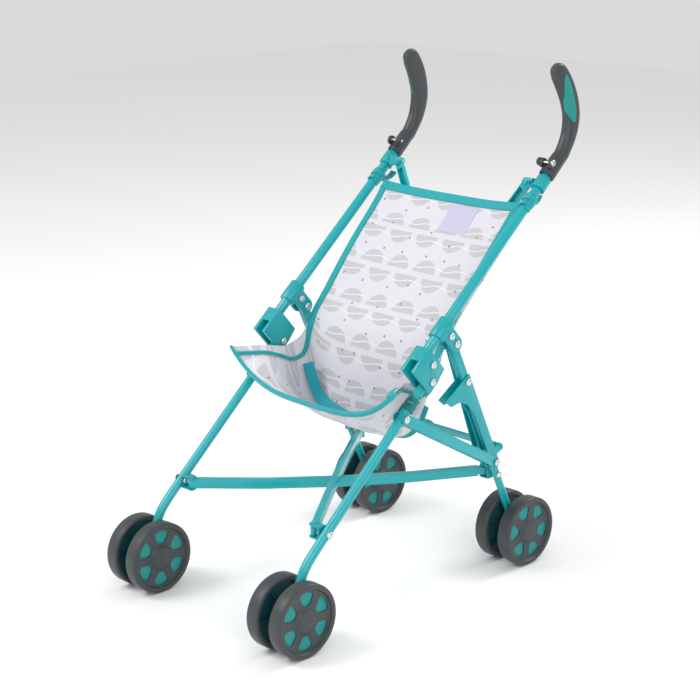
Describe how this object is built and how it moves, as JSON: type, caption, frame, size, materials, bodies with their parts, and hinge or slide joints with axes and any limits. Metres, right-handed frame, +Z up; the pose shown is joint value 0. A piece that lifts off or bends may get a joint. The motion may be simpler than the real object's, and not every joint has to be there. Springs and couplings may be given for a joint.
{
  "type": "doll stroller",
  "caption": "Folding doll umbrella stroller with a hanging fabric seat, twin wheels on each leg and two curved handles.",
  "frame": {"origin": "on the floor, under the middle of the stroller's box", "axes": "-Y is the way the stroller faces, +X is the left of whoever pushes it, +Z is up"},
  "size_m": [0.272, 0.4578, 0.5354],
  "materials": {
    "teal_steel": "gloss",
    "teal_plastic": "satin",
    "grey_plastic": "matte",
    "grip_teal": "matte",
    "bright_steel": "satin",
    "seat_fabric": "matte",
    "webbing": "matte"
  },
  "bodies": {
    "seat": {"seat_sling": "seat_fabric", "lap_belt": "webbing", "crotch_strap": "webbing"},
    "left_push_frame": {"left_push_tube": "teal_steel", "left_collar": "teal_plastic", "left_hip_hinge": "teal_plastic", "left_back_lug": "teal_plastic", "left_handle": "grey_plastic", "left_cuff_screw": "bright_steel", "left_grip_inset": "grip_teal"},
    "left_front_leg": {"left_front_leg": "teal_steel"},
    "left_strut": {"left_strut": "teal_plastic"},
    "left_rear_leg": {"left_rear_leg": "teal_steel", "left_rear_head": "teal_plastic"},
    "left_side_link": {"left_side_link": "teal_steel"},
    "left_arm_swivel": {"left_arm_swivel": "teal_plastic"},
    "left_back_arm": {"left_back_arm": "teal_steel"},
    "left_front_swivel": {"left_front_swivel": "teal_plastic"},
    "left_lower_bar": {"left_lower_bar": "teal_steel"},
    "left_rear_swivel": {"left_rear_swivel": "teal_plastic"},
    "left_lock_bar": {"left_lock_bar": "teal_steel"},
    "front_left_wheels": {"front_left_outer_wheel": "grey_plastic", "front_left_outer_trim": "teal_plastic", "front_left_inner_wheel": "grey_plastic", "front_left_inner_trim": "teal_plastic", "front_left_axle": "bright_steel"},
    "rear_left_wheels": {"rear_left_outer_wheel": "grey_plastic", "rear_left_outer_trim": "teal_plastic", "rear_left_inner_wheel": "grey_plastic", "rear_left_inner_trim": "teal_plastic", "rear_left_axle": "bright_steel"},
    "right_push_frame": {"right_push_tube": "teal_steel", "right_collar": "teal_plastic", "right_hip_hinge": "teal_plastic", "right_back_lug": "teal_plastic", "right_handle": "grey_plastic", "right_cuff_screw": "bright_steel", "right_grip_inset": "grip_teal"},
    "right_front_leg": {"right_front_leg": "teal_steel"},
    "right_strut": {"right_strut": "teal_plastic"},
    "right_rear_leg": {"right_rear_leg": "teal_steel", "right_rear_head": "teal_plastic"},
    "right_side_link": {"right_side_link": "teal_steel"},
    "right_arm_swivel": {"right_arm_swivel": "teal_plastic"},
    "right_back_arm": {"right_back_arm": "teal_steel"},
    "right_front_swivel": {"right_front_swivel": "teal_plastic"},
    "right_lower_bar": {"right_lower_bar": "teal_steel"},
    "right_rear_swivel": {"right_rear_swivel": "teal_plastic"},
    "right_lock_bar": {"right_lock_bar": "teal_steel"},
    "front_right_wheels": {"front_right_outer_wheel": "grey_plastic", "front_right_outer_trim": "teal_plastic", "front_right_inner_wheel": "grey_plastic", "front_right_inner_trim": "teal_plastic", "front_right_axle": "bright_steel"},
    "rear_right_wheels": {"rear_right_outer_wheel": "grey_plastic", "rear_right_outer_trim": "teal_plastic", "rear_right_inner_wheel": "grey_plastic", "rear_right_inner_trim": "teal_plastic", "rear_right_axle": "bright_steel"}
  },
  "joints": [
    {"name": "fold", "type": "slide", "parent": "seat", "child": "left_push_frame", "axis": [-1, 0, 0], "range_m": [0, 0.03], "deforming": ["seat_sling", "lap_belt", "crotch_strap"]},
    {"name": "left_front_leg_hinge", "type": "hinge", "parent": "left_push_frame", "child": "left_front_leg", "pos_m": [0.112, -0.00321, 0.23463], "axis": [-1, 0, 0], "range_deg": [0, 49.4]},
    {"name": "left_strut_hinge", "type": "hinge", "parent": "left_push_frame", "child": "left_strut", "pos_m": [0.112, 0.03346, 0.26699], "axis": [-1, 0, 0], "range_deg": [0, 9.9]},
    {"name": "left_rear_leg_hinge", "type": "hinge", "parent": "left_strut", "child": "left_rear_leg", "pos_m": [0.112, 0.05416, 0.2217], "axis": [-1, 0, 0], "range_deg": [0, 17.3]},
    {"name": "left_side_link_hinge", "type": "hinge", "parent": "left_front_leg", "child": "left_side_link", "pos_m": [0.112, -0.03858, 0.20292], "axis": [1, 0, 0], "range_deg": [0, 25.1]},
    {"name": "left_arm_swivel_hinge", "type": "hinge", "parent": "left_push_frame", "child": "left_arm_swivel", "pos_m": [0.112, 0.17037, 0.41233], "axis": [-1, 0, 0], "range_deg": [0, 9.3]},
    {"name": "left_back_arm_hinge", "type": "hinge", "parent": "left_arm_swivel", "child": "left_back_arm", "pos_m": [0.092, 0.17348, 0.41157], "axis": [0, -0.9711, 0.2385], "range_deg": [0, 11.1]},
    {"name": "left_front_swivel_hinge", "type": "hinge", "parent": "left_front_leg", "child": "left_front_swivel", "pos_m": [0.112, -0.14395, 0.10848], "axis": [1, 0, 0], "range_deg": [0, 14.2]},
    {"name": "left_lower_bar_hinge", "type": "hinge", "parent": "left_front_swivel", "child": "left_lower_bar", "pos_m": [0.095, -0.14395, 0.10848], "axis": [0, -0.0055, -1], "range_deg": [0, 12.9]},
    {"name": "left_rear_swivel_hinge", "type": "hinge", "parent": "left_rear_leg", "child": "left_rear_swivel", "pos_m": [0.112, 0.10653, 0.1071], "axis": [-1, 0, 0], "range_deg": [0, 8.2]},
    {"name": "left_lock_bar_hinge", "type": "hinge", "parent": "left_rear_leg", "child": "left_lock_bar", "pos_m": [0.112, 0.11214, 0.13715], "axis": [0, -0.9095, -0.4156], "range_deg": [0, 43]},
    {"name": "front_left_wheel_spin", "type": "hinge", "parent": "left_front_leg", "child": "front_left_wheels", "pos_m": [0.112, -0.1909, 0.038], "axis": [1, 0, 0], "continuous": true},
    {"name": "rear_left_wheel_spin", "type": "hinge", "parent": "left_rear_leg", "child": "rear_left_wheels", "pos_m": [0.112, 0.1381, 0.038], "axis": [1, 0, 0], "continuous": true},
    {"name": "fold_right_side", "type": "slide", "parent": "seat", "child": "right_push_frame", "axis": [1, 0, 0], "range_m": [0, 0.03]},
    {"name": "right_front_leg_hinge", "type": "hinge", "parent": "right_push_frame", "child": "right_front_leg", "pos_m": [-0.112, -0.00321, 0.23463], "axis": [-1, 0, 0], "range_deg": [0, 49.4]},
    {"name": "right_strut_hinge", "type": "hinge", "parent": "right_push_frame", "child": "right_strut", "pos_m": [-0.112, 0.03346, 0.26699], "axis": [-1, 0, 0], "range_deg": [0, 9.9]},
    {"name": "right_rear_leg_hinge", "type": "hinge", "parent": "right_strut", "child": "right_rear_leg", "pos_m": [-0.112, 0.05416, 0.2217], "axis": [-1, 0, 0], "range_deg": [0, 17.3]},
    {"name": "right_side_link_hinge", "type": "hinge", "parent": "right_front_leg", "child": "right_side_link", "pos_m": [-0.112, -0.03858, 0.20292], "axis": [1, 0, 0], "range_deg": [0, 25.1]},
    {"name": "right_arm_swivel_hinge", "type": "hinge", "parent": "right_push_frame", "child": "right_arm_swivel", "pos_m": [-0.112, 0.17037, 0.41233], "axis": [-1, 0, 0], "range_deg": [0, 9.3]},
    {"name": "right_back_arm_hinge", "type": "hinge", "parent": "right_arm_swivel", "child": "right_back_arm", "pos_m": [-0.092, 0.16726, 0.4131], "axis": [0, 0.9711, -0.2385], "range_deg": [0, 11.1]},
    {"name": "right_front_swivel_hinge", "type": "hinge", "parent": "right_front_leg", "child": "right_front_swivel", "pos_m": [-0.112, -0.14395, 0.10848], "axis": [1, 0, 0], "range_deg": [0, 14.2]},
    {"name": "right_lower_bar_hinge", "type": "hinge", "parent": "right_front_swivel", "child": "right_lower_bar", "pos_m": [-0.095, -0.14395, 0.10848], "axis": [0, 0.0055, 1], "range_deg": [0, 12.9]},
    {"name": "right_rear_swivel_hinge", "type": "hinge", "parent": "right_rear_leg", "child": "right_rear_swivel", "pos_m": [-0.112, 0.10653, 0.1071], "axis": [-1, 0, 0], "range_deg": [0, 8.2]},
    {"name": "right_lock_bar_hinge", "type": "hinge", "parent": "right_rear_leg", "child": "right_lock_bar", "pos_m": [-0.112, 0.11214, 0.13715], "axis": [0, 0.9095, 0.4156], "range_deg": [0, 43]},
    {"name": "front_right_wheel_spin", "type": "hinge", "parent": "right_front_leg", "child": "front_right_wheels", "pos_m": [-0.112, -0.1909, 0.038], "axis": [1, 0, 0], "continuous": true},
    {"name": "rear_right_wheel_spin", "type": "hinge", "parent": "right_rear_leg", "child": "rear_right_wheels", "pos_m": [-0.112, 0.1381, 0.038], "axis": [1, 0, 0], "continuous": true}
  ],
  "couplings": [
    {"joint": "left_front_leg_hinge", "follows": "fold", "rad_per_m": 28.705},
    {"joint": "left_strut_hinge", "follows": "fold", "rad_per_m": 5.7049},
    {"joint": "left_rear_leg_hinge", "follows": "fold", "rad_per_m": 10.001},
    {"joint": "left_side_link_hinge", "follows": "fold", "rad_per_m": 14.588},
    {"joint": "left_arm_swivel_hinge", "follows": "fold", "rad_per_m": 5.3889},
    {"joint": "left_back_arm_hinge", "follows": "fold", "rad_per_m": 6.4031},
    {"joint": "left_front_swivel_hinge", "follows": "fold", "rad_per_m": 8.2477},
    {"joint": "left_lower_bar_hinge", "follows": "fold", "rad_per_m": 7.4844},
    {"joint": "left_rear_swivel_hinge", "follows": "fold", "rad_per_m": 4.751},
    {"joint": "left_lock_bar_hinge", "follows": "fold", "rad_per_m": 24.978},
    {"joint": "fold_right_side", "follows": "fold", "ratio": 1},
    {"joint": "right_front_leg_hinge", "follows": "fold", "rad_per_m": 28.705},
    {"joint": "right_strut_hinge", "follows": "fold", "rad_per_m": 5.7049},
    {"joint": "right_rear_leg_hinge", "follows": "fold", "rad_per_m": 10.001},
    {"joint": "right_side_link_hinge", "follows": "fold", "rad_per_m": 14.588},
    {"joint": "right_arm_swivel_hinge", "follows": "fold", "rad_per_m": 5.3889},
    {"joint": "right_back_arm_hinge", "follows": "fold", "rad_per_m": 6.4031},
    {"joint": "right_front_swivel_hinge", "follows": "fold", "rad_per_m": 8.2477},
    {"joint": "right_lower_bar_hinge", "follows": "fold", "rad_per_m": 7.4844},
    {"joint": "right_rear_swivel_hinge", "follows": "fold", "rad_per_m": 4.751},
    {"joint": "right_lock_bar_hinge", "follows": "fold", "rad_per_m": 24.978}
  ]
}
